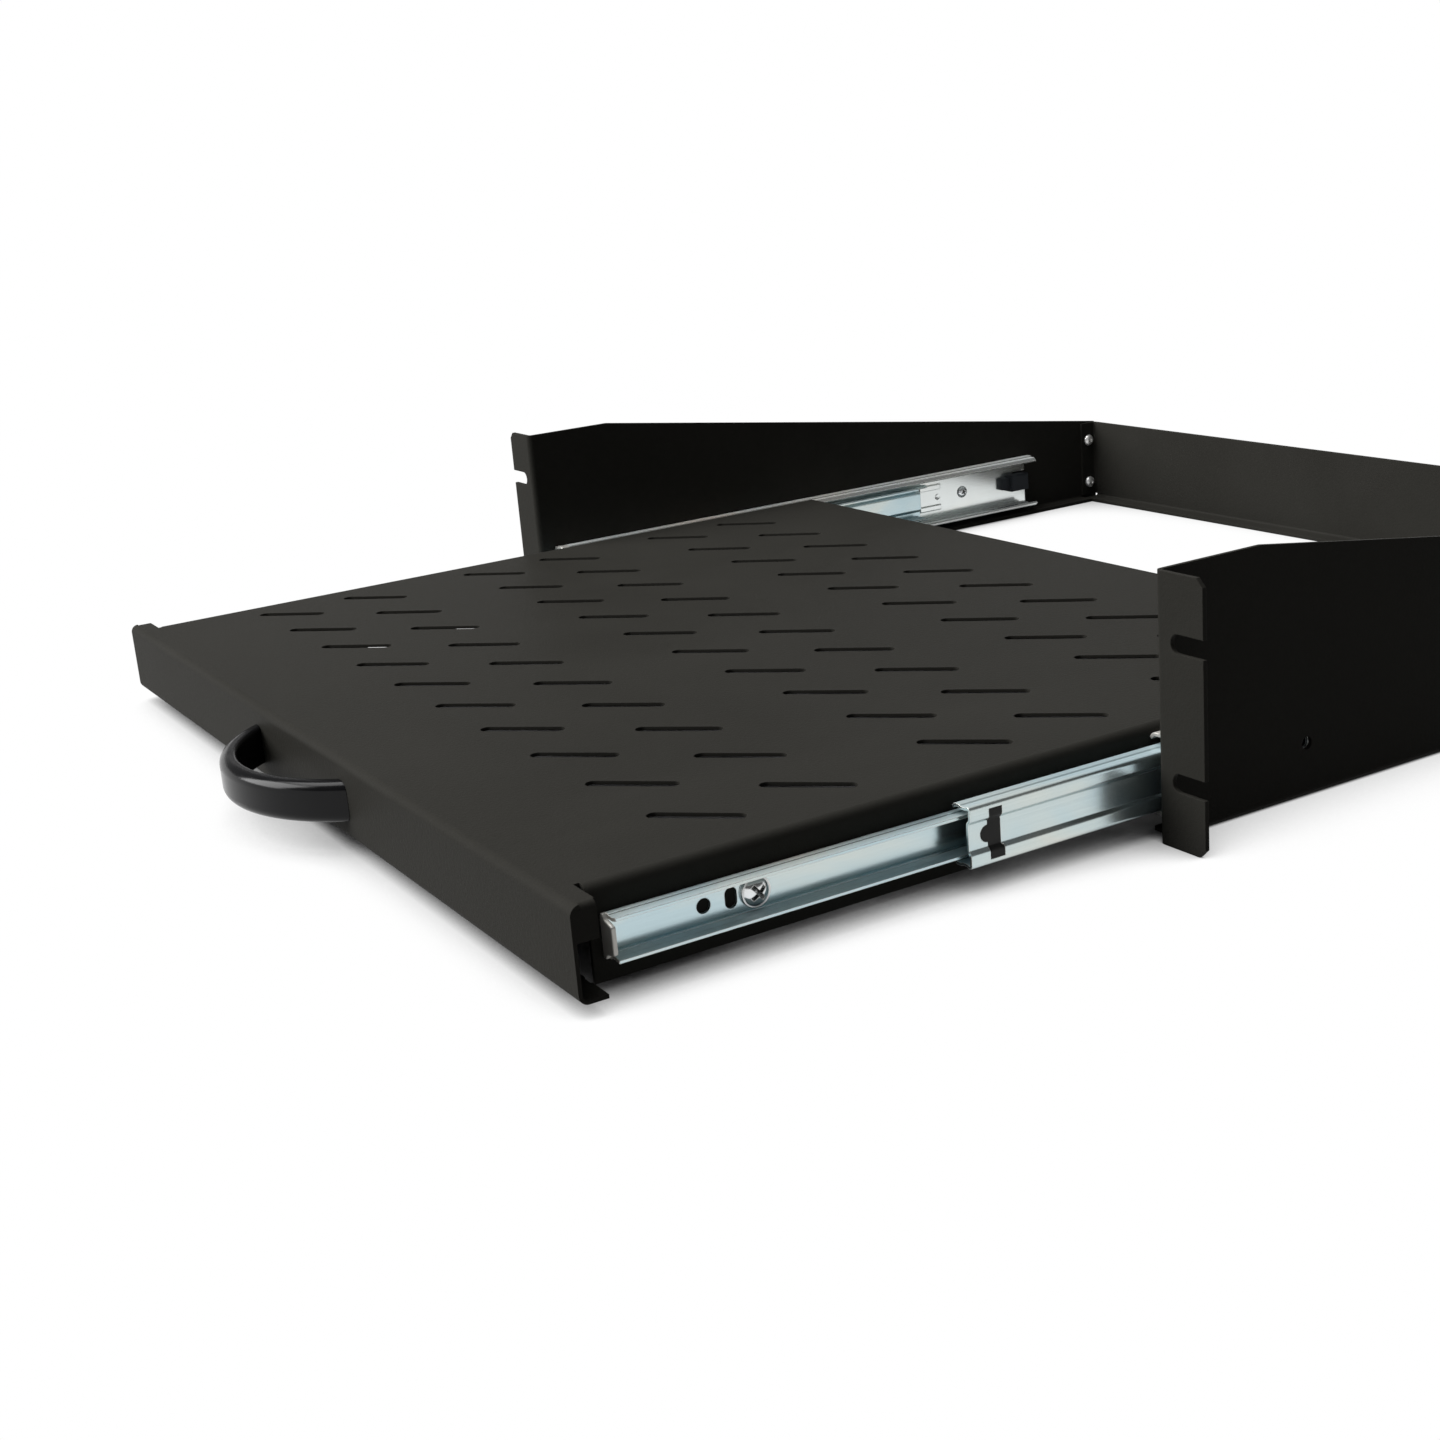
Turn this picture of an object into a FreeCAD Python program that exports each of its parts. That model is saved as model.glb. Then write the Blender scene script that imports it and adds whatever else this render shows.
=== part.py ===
import FreeCAD
import Part
import math
import os

V = FreeCAD.Vector
X_AXIS = V(1, 0, 0)
Y_AXIS = V(0, 1, 0)
Z_AXIS = V(0, 0, 1)

# Frame of the part: origin midway between the rack ears, on their back face, at mid height.
# +X is the user's right seen from the front, +Y runs into the rack, +Z is up. Millimetres.

# Rack panel standard
rack_width = 482.6
rack_unit = 44.45
unit_count = 2
unit_allowance = 0.8

# Side brackets and rear panel, folded sheet
frame_sheet = 1.5
frame_bend = 1.0
body_width = 444.0
frame_depth = 353.4
top_flat = 41.7
rear_height = 43.7
side_flange = 10.5
side_flange_setback = 5.0
end_flange = 10.5
rear_flange = 10.5
fold_relief = 0.5
ear_chamfer = 2.7
ear_slot_width = 6.2
ear_slot_depth = 14.0

# Rivets that join the rear panel to the brackets
rivet_heights = (9.8, 33.9)
rivet_radius = 1.6
rivet_head_radius = 3.1
rivet_bend_gap = 0.1
rivet_head_height = 2.0
rivet_tail_radius = 2.6
rivet_tail_height = 1.6

# Shelf tray, one folded sheet
tray_sheet = 1.2
tray_bend = 1.8
tray_overhang = 8.0
tray_rear_gap = 4.8
tray_top_height = 33.8
tray_side_bottom = 4.8
panel_gap = 1.8
panel_bottom_height = 5.0
front_strip = 8.5
front_lip = 9.0
corner_relief = 1.8
end_tab_setback = 0.5
end_tab_height = 10.8
end_tab_bend = 0.8

# Vent slots of the tray, set at 45 degrees
slot_length = 30.8
slot_width = 5.0
slot_columns = 10
slot_side_margin = 28.25
slot_row_pair = 39.4
slot_groups = 3
slot_front_margin = 61.6
slot_rear_margin = 58.4

# Telescopic slides: three roll-formed members between wall and tray
slide_space = 12.7
slide_height = 18.6
outer_sheet = 1.1
middle_sheet = 0.9
inner_sheet = 1.0
roll_bend = 0.35
outer_setback = 6.5
outer_rear_gap = 52.9
middle_shorter = 24.0
middle_lag = 2.0
inner_shorter = 18.0
inner_setback = 13.5
inner_race = 6.3
inner_rise = 0.5
inner_lip_flare = 0.45
inner_ball_radius = 1.2
outer_ball_radius = 1.7
ball_clearance = 0.1
pocket_clearance = 0.2
cage_space = 1.1
cage_offset = 0.35
outer_cage_sheet = 0.5
inner_cage_sheet = 0.4
outer_cage_length = 110.0
inner_cage_length = 44.0
outer_ball_pitch = 26.0
inner_ball_pitch = 14.0
outer_balls_per_row = 4
inner_balls_per_row = 3

# Draw of the slides in the pose that is modelled
tray_draw = 197.0
left_middle_draw = 52.5
right_middle_draw = 81.4

# Screws of the slides
outer_screw_front = 55.0
outer_screw_rear = 44.0
inner_screw_front = 48.9
inner_screw_rear = 36.0
screw_radius = 2.0
screw_hole_clearance = 0.2
dome_head_radius = 3.2
dome_head_height = 1.9
dome_tip_recess = 1.0
pan_head_radius = 4.9
pan_head_height = 2.8
nut_across_flats = 7.0
nut_height = 3.2
nut_tip = 0.6

# Stamped features of the rails, the rear ones measured from the rail's rear end
dimple_rear = 60.8
dimple_radius = 1.7
dimple_depth = 0.45
rib_rear = 73.0
rib_length = 14.0
rib_width = 3.0
rib_height = 0.8
rib_offset = 5.7
inner_hole_station = 32.0
inner_hole_radius = 2.3
inner_oblong_station = 41.0
inner_oblong_width = 4.0
inner_oblong_height = 6.5
inner_stop_half = 4.2
inner_stop_shoulder = 0.3
inner_stop_corner = 0.8
inner_stop_round = 0.55

# Rubber bumper at the back of each outer rail
bumper_rear = 18.0
bumper_nose = 5.0
bumper_length = 17.0
bumper_half_height = 4.6
bumper_nose_half_height = 3.2
bumper_rise = 5.4
bumper_nose_rise = 3.0
bumper_fit = 0.2
rail_notch_rear = 9.5
rail_notch_half_height = 5.4
rail_notch_corner = 1.6

# Plastic clip in the window near the front of each middle rail
clip_bar_station = 7.1
clip_bar_width = 4.9
clip_bar_half_height = 8.05
clip_foot_width = 0.6
clip_foot_height = 3.4
clip_round_radius = 2.75
clip_fit = 0.12
clip_plate_start = 0.8
clip_plate_length = 16.0
clip_plate_half_height = 4.2
clip_plate_sheet = 0.8

# Bow handle on the front panel
handle_half_span = 49.0
handle_reach = 26.0
handle_height = 14.6
handle_centre_height = 19.0
handle_thickness = 6.5
handle_outer_round = 3.6
handle_inner_round = 1.4
handle_screw_offset = 5.5
handle_screw_radius = 1.75
handle_screw_depth = 4.0
handle_screw_head_radius = 3.5
handle_screw_head_height = 2.2

# Levels and planes that follow from the driving sizes
ear_height = unit_count * rack_unit - unit_allowance
base = -ear_height / 2
top = ear_height / 2
wall_out = body_width / 2
wall_in = wall_out - frame_sheet
tray_half = wall_in - slide_space
panel_half = wall_in - panel_gap
tray_top = base + tray_top_height
tray_front = -tray_overhang - tray_draw
tray_rear = frame_depth - tray_rear_gap - tray_draw
tray_depth = tray_rear - tray_front
slide_z = base + slide_height
handle_screw_x = handle_half_span - handle_screw_offset
rivet_hole_radius = rivet_radius + screw_hole_clearance

# Spacing of the vent slots between their margins
slot_pitch = 2 * (tray_half - slot_side_margin) / (slot_columns - 1)
slot_run = tray_depth - slot_front_margin - slot_rear_margin - slot_row_pair
slot_group_pitch = slot_run / (slot_groups - 1)

# Lengths of the slide members and places along them
outer_length = frame_depth - outer_setback - outer_rear_gap
middle_length = outer_length - middle_shorter
inner_length = outer_length - inner_shorter
outer_end = outer_setback + outer_length
outer_screw_stations = (outer_screw_front, outer_length - outer_screw_rear)
inner_screw_stations = (inner_screw_front, inner_length - inner_screw_rear)

# Slide section, as distances from the wall (u) and from the slide's mid height (v)
middle_face = outer_sheet + cage_space
groove_depth = 0.4
groove_run = 0.7
groove_half = 1.1
shoulder = 1.7
outer_ball_u = middle_face + shoulder + groove_run + groove_half
ridge_start = outer_ball_u + groove_half + groove_run
ridge_half = 1.2
inner_ball_u = ridge_start + ridge_half
ridge_end = inner_ball_u + ridge_half
lip_run = 1.0
lip_drop = 1.0
inner_ball_v = inner_race + ball_clearance + inner_ball_radius
ridge_v = inner_ball_v + inner_ball_radius + ball_clearance + middle_sheet
groove_v = ridge_v - groove_depth
outer_ball_v = groove_v + ball_clearance + outer_ball_radius
outer_race_v = outer_ball_v + outer_ball_radius + 1.5 * ball_clearance
outer_flange_v = outer_race_v - 0.65
middle_recess = 1.2
middle_recess_half = 4.1
middle_recess_run = 1.3
inner_lip_u = inner_ball_u - 2.9
inner_flange_v = inner_race + inner_rise


def fold(points, thickness, bend, normal, length):
    """Bent strip: points run along one face, the sheet lies to their left seen against normal."""
    steps = [(b - a).normalize() for a, b in zip(points, points[1:])]
    sides = [normal.cross(step) for step in steps]
    far_points = [points[0] + sides[0] * thickness]
    near_radii = []
    far_radii = []
    for i in range(1, len(points) - 1):
        mitre = (sides[i - 1] + sides[i]) * (1 / (1 + sides[i - 1].dot(sides[i])))
        far_points.append(points[i] + mitre * thickness)
        turns_left = steps[i - 1].cross(steps[i]).dot(normal) > 0
        near_radii.append(bend + thickness if turns_left else bend)
        far_radii.append(bend if turns_left else bend + thickness)
    far_points.append(points[-1] + sides[-1] * thickness)
    edges = rounded_run(points, near_radii)
    edges.append(Part.LineSegment(points[-1], far_points[-1]).toShape())
    edges += rounded_run(far_points[::-1], far_radii[::-1])
    edges.append(Part.LineSegment(far_points[0], points[0]).toShape())
    return Part.Face(Part.Wire(edges)).extrude(normal * length)


def rounded_run(points, radii):
    """Edges of an open run of lines with an arc at each inner corner."""
    edges = []
    start = points[0]
    for before, corner, after, radius in zip(points, points[1:], points[2:], radii):
        back = (before - corner).normalize()
        on = (after - corner).normalize()
        half = back.getAngle(on) / 2
        middle = (back + on).normalize()
        first = corner + back * (radius / math.tan(half))
        last = corner + on * (radius / math.tan(half))
        crown = corner + middle * (radius / math.sin(half) - radius)
        if start.distanceToPoint(first) > 1e-6:
            edges.append(Part.LineSegment(start, first).toShape())
        edges.append(Part.Arc(first, crown, last).toShape())
        start = last
    if start.distanceToPoint(points[-1]) > 1e-6:
        edges.append(Part.LineSegment(start, points[-1]).toShape())
    return edges


def block(low, high):
    """Box between two corners."""
    size = V(*high) - V(*low)
    return Part.makeBox(size.x, size.y, size.z, V(*low))


def rod(radius, start, direction, length):
    """Round bar from a point along a direction."""
    return Part.makeCylinder(radius, length, start, direction)


def dome(radius, height, seat, direction):
    """Domed head that stands on its seat."""
    side = Z_AXIS
    ball_radius = (radius * radius + height * height) / (2 * height)
    half = math.asin(radius / ball_radius) / 2
    centre = seat + direction * (height - ball_radius)
    rim = seat + side * radius
    crown = seat + direction * height
    between = centre + direction * (ball_radius * math.cos(half)) + side * (ball_radius * math.sin(half))
    outline = [
        Part.LineSegment(seat, rim).toShape(), Part.Arc(rim, between, crown).toShape(),
        Part.LineSegment(crown, seat).toShape()]
    return Part.Face(Part.Wire(outline)).revolve(seat, direction, 360)


def prism(points, direction):
    """Straight-edged outline pushed along a direction."""
    return Part.Face(Part.makePolygon(points + points[:1])).extrude(direction)


def mirrored(shape):
    """The same piece for the other side of the shelf."""
    return shape.mirror(V(0, 0, 0), X_AXIS)


def joined(shapes):
    """One solid from pieces of the same sheet or moulding."""
    return shapes[0].fuse(shapes[1:]).removeSplitter()


def save(node, shape):
    """Write one node of the assembly."""
    shape.exportStep("parts/" + node + ".step")


def save_pair(name, right_shape, left_shape=None):
    """Write a right-hand piece and its left-hand twin."""
    save("right_" + name, right_shape)
    save("left_" + name, mirrored(left_shape if left_shape is not None else right_shape))


def slide_point(u, v, y=0.0):
    """Point of the right slide's section."""
    return V(wall_in - u, y, slide_z + v)


def rail(half, sheet, y, length):
    """Roll-formed rail: half is one face from mid height to the upper lip, sheet to its left."""
    lower = [slide_point(u, -v, y) for u, v in half[::-1]]
    upper = [slide_point(u, v, y) for u, v in half]
    return fold(lower + upper, sheet, roll_bend, Y_AXIS, length)


# Side bracket: wall with a tapered top, rack ear turned out in front, foot flange turned in
def side_bracket():
    fold_out = frame_sheet + frame_bend
    ear_edge = rack_width / 2
    wall = fold(
        [V(ear_edge, 0, base), V(wall_out, 0, base), V(wall_out, frame_depth, base)],
        frame_sheet, frame_bend, Z_AXIS, ear_height)
    taper = prism(
        [V(wall_in - 1, top_flat, top), V(wall_in - 1, frame_depth + 1, base + rear_height),
         V(wall_in - 1, frame_depth + 1, top + 1), V(wall_in - 1, top_flat, top + 1)],
        X_AXIS * (frame_sheet + 2))
    flange_end = frame_depth - rear_flange - fold_relief
    flange_run = flange_end - side_flange_setback
    corner = block(
        (wall_in - 1, side_flange_setback, base), (wall_out + 1, flange_end, base + fold_out))
    flange = fold(
        [V(wall_out, side_flange_setback, base + fold_out), V(wall_out, side_flange_setback, base),
         V(wall_out - side_flange, side_flange_setback, base)],
        frame_sheet, frame_bend, Y_AXIS, flange_run)
    bracket = joined([wall.cut([taper, corner]), flange])
    cuts = []
    for level in (-rack_unit / 2, rack_unit / 2):
        closed_end = ear_edge - ear_slot_depth + ear_slot_width / 2
        cuts.append(block(
            (closed_end, -frame_sheet - 1, level - ear_slot_width / 2),
            (ear_edge + 1, 1, level + ear_slot_width / 2)))
        cuts.append(rod(ear_slot_width / 2, V(closed_end, -frame_sheet - 1, level), Y_AXIS, frame_sheet + 2))
    for level, inward in ((base, 1), (top, -1)):
        cuts.append(prism(
            [V(ear_edge, -frame_sheet - 1, level), V(ear_edge - ear_chamfer, -frame_sheet - 1, level),
             V(ear_edge, -frame_sheet - 1, level + inward * ear_chamfer)],
            Y_AXIS * (frame_sheet + 2)))
    for height in rivet_heights:
        cuts.append(rod(rivet_hole_radius, rivet_point(height, -1), X_AXIS, frame_sheet + 2))
    for station in outer_screw_stations:
        cuts.append(rod(
            screw_radius + screw_hole_clearance, slide_point(1, 0, outer_setback + station),
            X_AXIS, frame_sheet + 2))
    return bracket.cut(cuts)


def rivet_point(height, out):
    """Centre of a rivet on the right wall, out millimetres beyond the wall's inner face."""
    setback = frame_sheet + frame_bend + rivet_bend_gap + rivet_head_radius
    return V(wall_in + out, frame_depth - setback, base + height)


# Rear panel: web across the back, ends turned forward onto the walls, foot flange turned in
def rear_panel():
    fold_out = frame_sheet + frame_bend
    web = fold(
        [V(wall_in, frame_depth - end_flange, base + fold_out), V(wall_in, frame_depth, base + fold_out),
         V(-wall_in, frame_depth, base + fold_out), V(-wall_in, frame_depth - end_flange, base + fold_out)],
        frame_sheet, frame_bend, Z_AXIS, rear_height - fold_out)
    foot_half = wall_in - fold_out - fold_relief
    foot = fold(
        [V(foot_half, frame_depth, base + fold_out), V(foot_half, frame_depth, base),
         V(foot_half, frame_depth - rear_flange, base)],
        frame_sheet, frame_bend, -X_AXIS, 2 * foot_half)
    panel = joined([web, foot])
    holes = []
    for height in rivet_heights:
        hole = rod(rivet_hole_radius, rivet_point(height, -frame_sheet - 1), X_AXIS, frame_sheet + 2)
        holes += [hole, mirrored(hole)]
    return panel.cut(holes)


# Rivets: domed head inside the corner, formed tail outside the wall
def rivets():
    group = []
    for height in rivet_heights:
        head = dome(rivet_head_radius, rivet_head_height, rivet_point(height, -frame_sheet), -X_AXIS)
        shank = rod(rivet_radius, rivet_point(height, -frame_sheet), X_AXIS, 2 * frame_sheet)
        tail = dome(rivet_tail_radius, rivet_tail_height, rivet_point(height, frame_sheet), X_AXIS)
        rivet = joined([head, shank, tail])
        group += [rivet, mirrored(rivet)]
    return Part.makeCompound(group)


# Shelf tray: slotted top, sides and back turned down, front panel with a lip turned back
def shelf_tray():
    fold_out = tray_sheet + tray_bend
    strip_back = tray_front + front_strip
    body_back = tray_rear - fold_out
    side_low = base + tray_side_bottom
    body = fold(
        [V(-tray_half, strip_back, side_low), V(-tray_half, strip_back, tray_top),
         V(tray_half, strip_back, tray_top), V(tray_half, strip_back, side_low)],
        tray_sheet, tray_bend, Y_AXIS, body_back - strip_back)
    back_half = tray_half - fold_out - fold_relief
    back = fold(
        [V(back_half, body_back, tray_top), V(back_half, tray_rear, tray_top),
         V(back_half, tray_rear, side_low)],
        tray_sheet, tray_bend, -X_AXIS, 2 * back_half)
    panel_low = base + panel_bottom_height
    front = fold(
        [V(-panel_half, strip_back, tray_top), V(-panel_half, tray_front, tray_top),
         V(-panel_half, tray_front, panel_low), V(-panel_half, tray_front + front_lip, panel_low)],
        tray_sheet, tray_bend, X_AXIS, 2 * panel_half)
    tab_out = end_tab_bend + tray_sheet
    tab_front = tray_front + tray_sheet
    tab = fold(
        [V(panel_half - tab_out, tab_front, tray_top), V(panel_half, tab_front, tray_top),
         V(panel_half, tab_front, tray_top - end_tab_height)],
        tray_sheet, end_tab_bend, Y_AXIS, front_strip - tray_sheet - end_tab_setback)
    tab_room = block(
        (panel_half - tab_out, tray_front + fold_out, tray_top - tray_sheet - 1),
        (panel_half + 1, strip_back + 1, tray_top + 1))
    tab = tab.cut(front_edge_rounding())
    front = front.cut([tab_room, mirrored(tab_room)])
    tray = joined([body, back, front, tab, mirrored(tab)])
    relief = block(
        (tray_half - fold_out - fold_relief, strip_back, side_low - 1),
        (tray_half + 1, strip_back + corner_relief, tray_top + 1))
    cuts = [relief, mirrored(relief)] + vent_slots()
    for x in (-1, 1):
        cuts.append(rod(
            handle_screw_radius + screw_hole_clearance,
            V(x * handle_screw_x, tray_front - 1, base + handle_centre_height), Y_AXIS, tray_sheet + 2))
    for station in inner_screw_stations:
        hole = rod(
            screw_radius + screw_hole_clearance,
            V(tray_half + 1, tray_front + inner_setback + station, slide_z), -X_AXIS, tray_sheet + 2)
        cuts += [hole, mirrored(hole)]
    return tray.cut(cuts)


def front_edge_rounding():
    """Room ahead of the rounded top edge of the front panel."""
    fold_out = tray_sheet + tray_bend
    corner = block(
        (-panel_half - 1, tray_front - 1, tray_top - fold_out),
        (panel_half + 1, tray_front + fold_out, tray_top + 1))
    centre = V(-panel_half - 2, tray_front + fold_out, tray_top - fold_out)
    return corner.cut(rod(fold_out, centre, X_AXIS, 2 * panel_half + 4))


def vent_slots():
    """Cutters of the slots, in groups of two rows."""
    straight = slot_length / 2 - slot_width / 2
    half = slot_width / 2
    low = tray_top - tray_sheet - 1
    along = V(1, 1, 0).normalize()
    across = V(-1, 1, 0).normalize()
    cutters = []
    for group in range(slot_groups):
        for row in range(2):
            y = tray_front + slot_front_margin + group * slot_group_pitch + row * slot_row_pair
            for column in range(slot_columns):
                centre = V((column - (slot_columns - 1) / 2) * slot_pitch, y, low)
                front_end = centre - along * straight
                back_end = centre + along * straight
                edges = [
                    Part.LineSegment(front_end - across * half, back_end - across * half).toShape(),
                    Part.Arc(back_end - across * half, back_end + along * half,
                             back_end + across * half).toShape(),
                    Part.LineSegment(back_end + across * half, front_end + across * half).toShape(),
                    Part.Arc(front_end + across * half, front_end - along * half,
                             front_end - across * half).toShape()]
                cutters.append(Part.Face(Part.Wire(edges)).extrude(Z_AXIS * (tray_sheet + 2)))
    return cutters


# Outer rail: channel screwed to the wall, with ball races in its flanges and stops in its web
def outer_rail():
    half = [
        (outer_sheet, outer_flange_v), (outer_ball_u - 2.0, outer_flange_v),
        (outer_ball_u - 1.3, outer_race_v), (outer_ball_u + 1.3, outer_race_v),
        (outer_ball_u + 2.0, outer_flange_v), (ridge_end + 0.3, outer_flange_v),
        (ridge_end + 1.5, outer_flange_v - 1.2)]
    blank = rail(half, outer_sheet, outer_setback, outer_length)
    ribs = []
    for v in (-rib_offset, rib_offset):
        rib_low = slide_point(outer_sheet + rib_height, v - rib_width / 2, outer_end - rib_rear)
        rib = Part.makeBox(rib_height, rib_length, rib_width, rib_low)
        ribs.append(rib.makeFillet(rib_height * 0.6, [e for e in rib.Edges if on_plane(e, rib_low.x)]))
    channel = joined([blank] + ribs)
    notch_front = outer_end - rail_notch_rear
    notch = block(
        (wall_in - outer_sheet - 1, notch_front, slide_z - rail_notch_half_height),
        (wall_in + 1, outer_end + 1, slide_z + rail_notch_half_height))
    notch = notch.makeFillet(
        rail_notch_corner,
        [e for e in notch.Edges if abs(e.CenterOfMass.y - notch_front) < 0.01
         and abs(e.CenterOfMass.z - slide_z) > rail_notch_half_height / 2])
    cuts = [notch]
    dimple_ball = (dimple_radius ** 2 + dimple_depth ** 2) / (2 * dimple_depth)
    dimple_centre = slide_point(outer_sheet - dimple_depth + dimple_ball, 0, outer_end - dimple_rear)
    cuts.append(Part.makeSphere(dimple_ball, dimple_centre))
    for station in outer_screw_stations:
        cuts.append(rod(
            screw_radius + screw_hole_clearance,
            slide_point(outer_sheet + 1, 0, outer_setback + station), X_AXIS, outer_sheet + 2))
    return channel.cut(cuts)


def on_plane(edge, x):
    """True for an edge that lies in the plane at x."""
    return all(abs(vertex.X - x) < 0.001 for vertex in edge.Vertexes)


# Screws of the outer rail: low domed heads that the middle rail passes over
def outer_rail_screws():
    group = []
    for station in outer_screw_stations:
        y = outer_setback + station
        head = dome(dome_head_radius, dome_head_height, slide_point(outer_sheet, 0, y), -X_AXIS)
        reach = outer_sheet + frame_sheet - dome_tip_recess
        shank = rod(screw_radius, slide_point(outer_sheet, 0, y), X_AXIS, reach)
        group.append(joined([head, shank]))
    return Part.makeCompound(group)


# Rear bumper: rubber stop hooked into the notch of the outer rail's web
def rear_bumper():
    y0 = outer_end - bumper_rear
    y1 = y0 + bumper_nose
    y2 = outer_end - rail_notch_rear + bumper_fit
    y3 = y0 + bumper_length
    seat = outer_sheet
    nose = block(
        (wall_in - seat - bumper_nose_rise, y0, slide_z - bumper_nose_half_height),
        (wall_in - seat, y1, slide_z + bumper_nose_half_height))
    body = block(
        (wall_in - seat - bumper_rise, y1, slide_z - bumper_half_height),
        (wall_in - seat, y3, slide_z + bumper_half_height))
    hook = block(
        (wall_in - seat, y2, slide_z - bumper_half_height),
        (wall_in - bumper_fit, y3, slide_z + bumper_half_height))
    face = wall_in - seat - bumper_rise
    body = body.makeFillet(1.0, [e for e in body.Edges if on_plane(e, face)])
    return joined([nose, body, hook])


# Middle rail: web beaded towards the tray, flanges that carry balls on both sides
def middle_half():
    centre_face = middle_face + middle_recess
    return [
        (centre_face, middle_recess_half), (middle_face, middle_recess_half + middle_recess_run),
        (middle_face, ridge_v), (middle_face + shoulder, ridge_v),
        (outer_ball_u - groove_half, groove_v), (outer_ball_u + groove_half, groove_v),
        (ridge_start, ridge_v), (ridge_end, ridge_v), (ridge_end + lip_run, ridge_v - lip_drop)]


def middle_blank(front):
    """Middle rail's section before its window, sheet on the tray side of the path."""
    lower = [slide_point(u, -v, front) for u, v in middle_half()[::-1]]
    upper = [slide_point(u, v, front) for u, v in middle_half()]
    path = (lower + upper)[::-1]
    return fold(path, middle_sheet, roll_bend, Y_AXIS, middle_length)


def clip_window(front, fit):
    """Window of the clip, drawn in by fit on every side."""
    u_out = middle_face - 1
    u_in = middle_face + middle_recess + middle_sheet + 1
    bar_front = front + clip_bar_station + fit
    bar_back = front + clip_bar_station + clip_bar_width - fit
    reach = clip_bar_half_height - fit
    pieces = [block(
        (wall_in - u_in, bar_front, slide_z - reach), (wall_in - u_out, bar_back, slide_z + reach))]
    pieces.append(rod(
        clip_round_radius - fit, slide_point(u_in, 0, front + clip_bar_station), X_AXIS, u_in - u_out))
    pieces.append(block(
        (wall_in - u_in, bar_front, slide_z - reach),
        (wall_in - u_out, bar_back + clip_foot_width, slide_z - reach + clip_foot_height - 2 * fit)))
    return joined(pieces)


def middle_rail(front):
    return middle_blank(front).cut(clip_window(front, 0))


# Rail clip: black plastic plug in the window, on a plate behind the web
def rail_clip(front):
    plug = middle_blank(front).common(clip_window(front, clip_fit))
    plate_u = middle_face + middle_recess + middle_sheet
    plate_front = front + clip_plate_start
    plate = block(
        (wall_in - plate_u - clip_plate_sheet, plate_front, slide_z - clip_plate_half_height),
        (wall_in - plate_u, plate_front + clip_plate_length, slide_z + clip_plate_half_height))
    return joined([plug, plate])


# Outer ball cages: strips between outer and middle rail, one above and one below
def outer_cage(centre):
    front = centre - outer_cage_length / 2
    leg_u = outer_sheet + (cage_space - outer_cage_sheet) / 2
    flange_v = outer_ball_v + cage_offset + outer_cage_sheet / 2
    strip = fold(
        [slide_point(outer_ball_u + outer_ball_radius + 0.6, flange_v, front),
         slide_point(leg_u, flange_v, front),
         slide_point(leg_u, middle_recess_half + middle_recess_run + 0.6, front)],
        outer_cage_sheet, roll_bend, Y_AXIS, outer_cage_length)
    reach = math.sqrt(outer_ball_radius ** 2 - (cage_offset - outer_cage_sheet / 2) ** 2)
    return cage_pair(strip, ball_stations(centre, outer_balls_per_row, outer_ball_pitch),
                     outer_ball_u, flange_v, reach + pocket_clearance)


# Inner ball cages: flat strips between middle and inner rail
def inner_cage(centre):
    front = centre - inner_cage_length / 2
    flange_v = inner_ball_v + inner_cage_sheet / 2
    half_width = inner_ball_radius + 0.5
    strip = fold(
        [slide_point(inner_ball_u + half_width, flange_v, front),
         slide_point(inner_ball_u - half_width, flange_v, front)],
        inner_cage_sheet, roll_bend, Y_AXIS, inner_cage_length)
    return cage_pair(strip, ball_stations(centre, inner_balls_per_row, inner_ball_pitch),
                     inner_ball_u, flange_v, inner_ball_radius + pocket_clearance / 2)


def cage_pair(strip, stations, u, v, pocket_radius):
    """Upper strip with its ball pockets, and the same strip turned over below."""
    pockets = [rod(pocket_radius, slide_point(u, v + 1, y), -Z_AXIS, 3) for y in stations]
    upper = strip.cut(pockets)
    lower = upper.mirror(V(0, 0, slide_z), Z_AXIS)
    return Part.makeCompound([upper, lower])


def ball_stations(centre, count, pitch):
    """Ball places along one row of a cage."""
    return [centre + (i - (count - 1) / 2) * pitch for i in range(count)]


def balls(radius, u, v, stations):
    """Steel balls of the upper and lower rows."""
    return Part.makeCompound(
        [Part.makeSphere(radius, slide_point(u, side * v, y)) for side in (1, -1) for y in stations])


# Inner rail: channel screwed to the tray's side, open towards the middle rail, front end closed
def inner_rail():
    front = tray_front + inner_setback
    half = [
        (slide_space, inner_flange_v), (inner_ball_u + 1.7, inner_flange_v), (inner_ball_u + 1.0, inner_race),
        (inner_ball_u - 1.0, inner_race), (inner_lip_u, inner_race + inner_lip_flare)]
    web_in = slide_space - inner_sheet
    bend_out = inner_sheet + roll_bend
    blank = rail(half, inner_sheet, front + bend_out, inner_length - bend_out)
    channel = joined([blank, inner_rail_stop(front, bend_out)])
    hole_start = slide_point(web_in - 1, 0, front + inner_hole_station)
    cuts = [rod(inner_hole_radius, hole_start, -X_AXIS, inner_sheet + 2)]
    oblong_rise = (inner_oblong_height - inner_oblong_width) / 2
    for v in (-oblong_rise, oblong_rise):
        cuts.append(rod(
            inner_oblong_width / 2, slide_point(web_in - 1, v, front + inner_oblong_station), -X_AXIS,
            inner_sheet + 2))
    oblong_front = front + inner_oblong_station - inner_oblong_width / 2
    cuts.append(block(
        (wall_in - slide_space - 1, oblong_front, slide_z - oblong_rise),
        (wall_in - web_in + 1, oblong_front + inner_oblong_width, slide_z + oblong_rise)))
    for station in inner_screw_stations:
        cuts.append(rod(
            screw_radius + screw_hole_clearance, slide_point(web_in - 1, 0, front + station), -X_AXIS,
            inner_sheet + 2))
    return channel.cut(cuts)


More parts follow.
